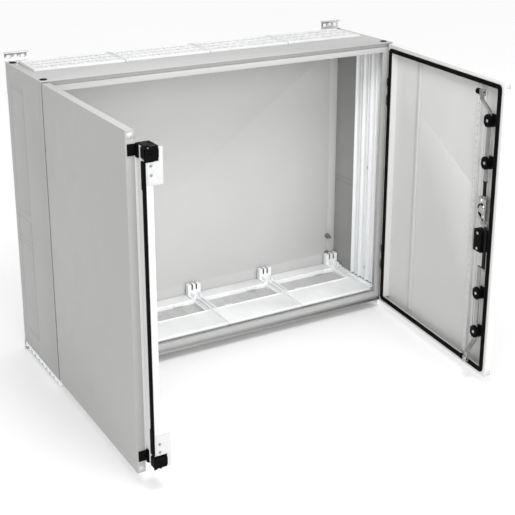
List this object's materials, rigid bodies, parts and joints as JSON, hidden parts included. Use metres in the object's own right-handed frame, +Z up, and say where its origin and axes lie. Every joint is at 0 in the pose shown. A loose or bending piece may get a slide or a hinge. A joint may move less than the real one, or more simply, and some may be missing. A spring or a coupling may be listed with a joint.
{
  "type": "industrial switchboard cabinet",
  "caption": "Wall-mounted sheet-steel switchboard cabinet with open double doors, rod lock, seals, cable flanges and inner cable trays.",
  "frame": {"origin": "centre of the four wall-fixing holes, on the wall plane", "axes": "+Z up; the front with its doors faces -Y and the wall is the plane y = 0; +X to the right seen from the front"},
  "size_m": [1.0522, 0.8368, 0.85],
  "materials": {
    "grey_paint": "satin",
    "white_steel": "satin",
    "white_plastic": "satin",
    "seal_rubber": "matte",
    "black_plastic": "satin",
    "handle_black": "satin",
    "zinc_steel": "satin",
    "die_cast_zinc": "satin"
  },
  "bodies": {
    "root": {"left_side_panel": "grey_paint", "right_side_panel": "grey_paint", "top_panel": "grey_paint", "bottom_panel": "grey_paint", "rear_panel": "grey_paint", "front_frame": "grey_paint", "left_side_profile": "white_steel", "right_side_profile": "white_steel", "profile_screws": "zinc_steel", "top_cable_flanges": "white_plastic", "bottom_cable_flanges": "white_plastic", "cable_trays": "white_plastic", "field_clips": "white_plastic", "bottom_edge_strips": "white_plastic", "corner_plugs": "black_plastic", "wall_brackets": "zinc_steel", "bracket_bolts": "zinc_steel", "earth_stud": "zinc_steel", "hinge_body_leaves": "die_cast_zinc", "hinge_pins": "zinc_steel"},
    "left_door": {"left_door_panel": "grey_paint", "left_door_seal": "seal_rubber", "left_door_stiffener": "grey_paint", "left_hinge_leaves": "die_cast_zinc", "meeting_stile": "grey_paint", "meeting_seal": "seal_rubber", "top_latch_housing": "black_plastic", "bottom_latch_housing": "black_plastic", "strike_plates": "white_steel", "strike_screws": "zinc_steel"},
    "top_bolt": {"top_latch_bolt": "black_plastic"},
    "bottom_bolt": {"bottom_latch_bolt": "black_plastic"},
    "right_door": {"right_door_panel": "grey_paint", "right_door_seal": "seal_rubber", "right_door_stiffener": "grey_paint", "perforated_rail": "grey_paint", "right_hinge_leaves": "die_cast_zinc", "rod_guides": "black_plastic", "guide_screws": "zinc_steel", "lock_case": "die_cast_zinc", "cylinder_case": "black_plastic", "case_screws": "zinc_steel", "handle_plate": "handle_black"},
    "handle": {"lock_pinion": "die_cast_zinc", "square_spindle": "zinc_steel", "handle_hub": "handle_black", "lever_pin": "zinc_steel"},
    "lever": {"handle_lever": "handle_black"},
    "upper_rod": {"upper_rod": "zinc_steel"},
    "lower_rod": {"lower_rod": "zinc_steel"},
    "upper_roller": {"upper_roller": "black_plastic"},
    "lower_roller": {"lower_roller": "black_plastic"}
  },
  "joints": [
    {"name": "left_door_hinge", "type": "hinge", "parent": "root", "child": "left_door", "pos_m": [-0.518, -0.297, 0], "axis": [0, 0, 1], "range_deg": [-25, 90]},
    {"name": "right_door_hinge", "type": "hinge", "parent": "root", "child": "right_door", "pos_m": [0.518, -0.297, 0], "axis": [0, 0, 1], "range_deg": [-84, 31]},
    {"name": "top_bolt_slide", "type": "slide", "parent": "left_door", "child": "top_bolt", "axis": [0, 0, 1], "range_m": [0, 0.012]},
    {"name": "bottom_bolt_slide", "type": "slide", "parent": "left_door", "child": "bottom_bolt", "axis": [0, 0, -1], "range_m": [0, 0.012]},
    {"name": "handle_turn", "type": "hinge", "parent": "right_door", "child": "handle", "pos_m": [0.48083, -0.77976, 0.055], "axis": [-0.9945, 0.1045, 0], "range_deg": [0, 90]},
    {"name": "lever_lift", "type": "hinge", "parent": "handle", "child": "lever", "pos_m": [0.48879, -0.7806, 0.055], "axis": [0, 0, -1], "range_deg": [0, 35]},
    {"name": "upper_rod_slide", "type": "slide", "parent": "right_door", "child": "upper_rod", "axis": [0, 0, 1], "range_m": [0, 0.01414]},
    {"name": "lower_rod_slide", "type": "slide", "parent": "right_door", "child": "lower_rod", "axis": [0, 0, -1], "range_m": [0, 0.01414]},
    {"name": "upper_roller_spin", "type": "hinge", "parent": "upper_rod", "child": "upper_roller", "pos_m": [0.4321, -0.77464, 0.363], "axis": [0.1045, 0.9945, 0], "continuous": true},
    {"name": "lower_roller_spin", "type": "hinge", "parent": "lower_rod", "child": "lower_roller", "pos_m": [0.4321, -0.77464, -0.363], "axis": [0.1045, 0.9945, 0], "continuous": true}
  ],
  "couplings": [
    {"joint": "upper_rod_slide", "follows": "handle_turn", "m_per_rad": 0.009},
    {"joint": "lower_rod_slide", "follows": "handle_turn", "m_per_rad": 0.009}
  ]
}
